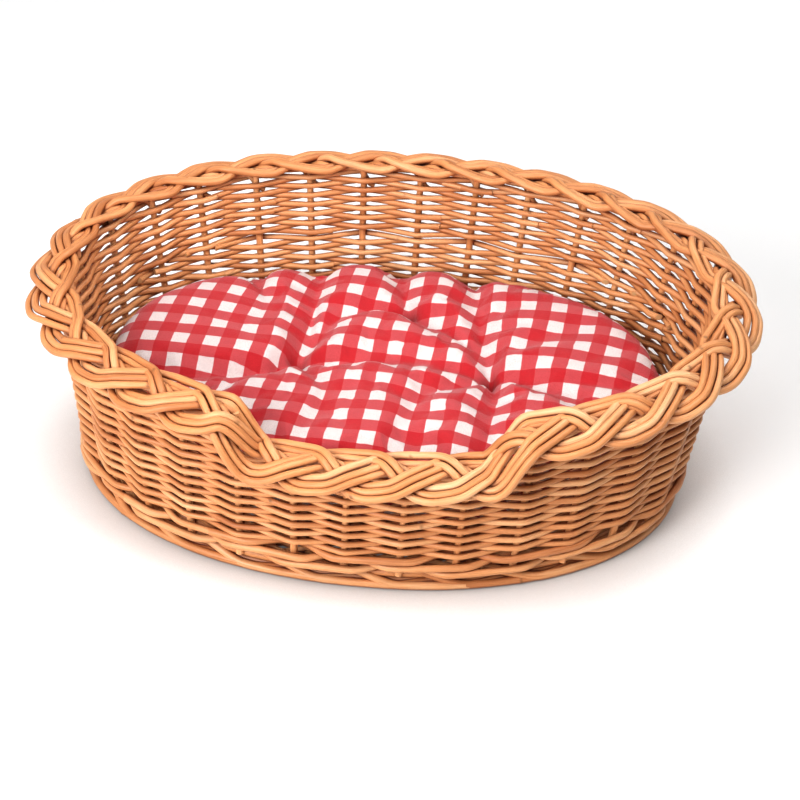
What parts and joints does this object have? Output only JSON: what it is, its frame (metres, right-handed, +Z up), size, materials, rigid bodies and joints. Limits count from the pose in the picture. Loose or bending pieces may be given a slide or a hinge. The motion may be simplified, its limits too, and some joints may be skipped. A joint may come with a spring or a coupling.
{
  "type": "wicker pet bed basket",
  "caption": "Oval wicker pet bed basket with a plaited border, a lowered entrance and a loose tufted gingham cushion that lifts out.",
  "frame": {"origin": "on the floor, under the middle of the whole basket", "axes": "+X to the right along the long side, -Y towards the low entrance, +Z up"},
  "size_m": [0.6004, 0.4032, 0.1956],
  "materials": {
    "siding_willow": "satin",
    "border_willow": "satin",
    "stake_willow": "satin",
    "gingham_cotton": "matte",
    "polyester_filling": "matte",
    "tufting_thread": "matte"
  },
  "bodies": {
    "basket": {"foot_border": "border_willow", "base_long_sticks": "stake_willow", "base_cross_sticks": "stake_willow", "base_weave": "siding_willow", "side_stakes": "stake_willow", "wale_rod_1": "border_willow", "wale_rod_2": "border_willow", "wale_rod_3": "border_willow", "lower_siding_rod_1": "siding_willow", "lower_siding_rod_2": "siding_willow", "lower_siding_rod_3": "siding_willow", "lower_siding_rod_4": "siding_willow", "lower_siding_rod_5": "siding_willow", "lower_siding_rod_6": "siding_willow", "lower_siding_rod_7": "siding_willow", "lower_siding_rod_8": "siding_willow", "lower_siding_rod_9": "siding_willow", "lower_siding_rod_10": "siding_willow", "lower_siding_rod_11": "siding_willow", "lower_siding_rod_12": "siding_willow", "lower_siding_rod_13": "siding_willow", "lower_siding_rod_14": "siding_willow", "packing_rod_1": "siding_willow", "packing_rod_2": "siding_willow", "packing_rod_3": "siding_willow", "packing_rod_4": "siding_willow", "packing_rod_5": "siding_willow", "middle_siding_rod_1": "siding_willow", "middle_siding_rod_2": "siding_willow", "middle_siding_rod_3": "siding_willow", "middle_siding_rod_4": "siding_willow", "middle_siding_rod_5": "siding_willow", "upper_siding_rod_1": "siding_willow", "upper_siding_rod_2": "siding_willow", "upper_siding_rod_3": "siding_willow", "upper_siding_rod_4": "siding_willow", "upper_siding_rod_5": "siding_willow", "upper_siding_rod_6": "siding_willow", "upper_siding_rod_7": "siding_willow", "upper_siding_rod_8": "siding_willow", "border_strand_1": "border_willow", "border_strand_2": "border_willow", "border_strand_3": "border_willow"},
    "cushion": {"cushion_bottom_panel": "gingham_cotton", "cushion_top_panel": "gingham_cotton", "cushion_filling": "polyester_filling", "cushion_ties": "tufting_thread"}
  },
  "joints": [
    {"name": "cushion_lift", "type": "slide", "parent": "basket", "child": "cushion", "axis": [0, 0, 1], "range_m": [0, 0.25]}
  ]
}
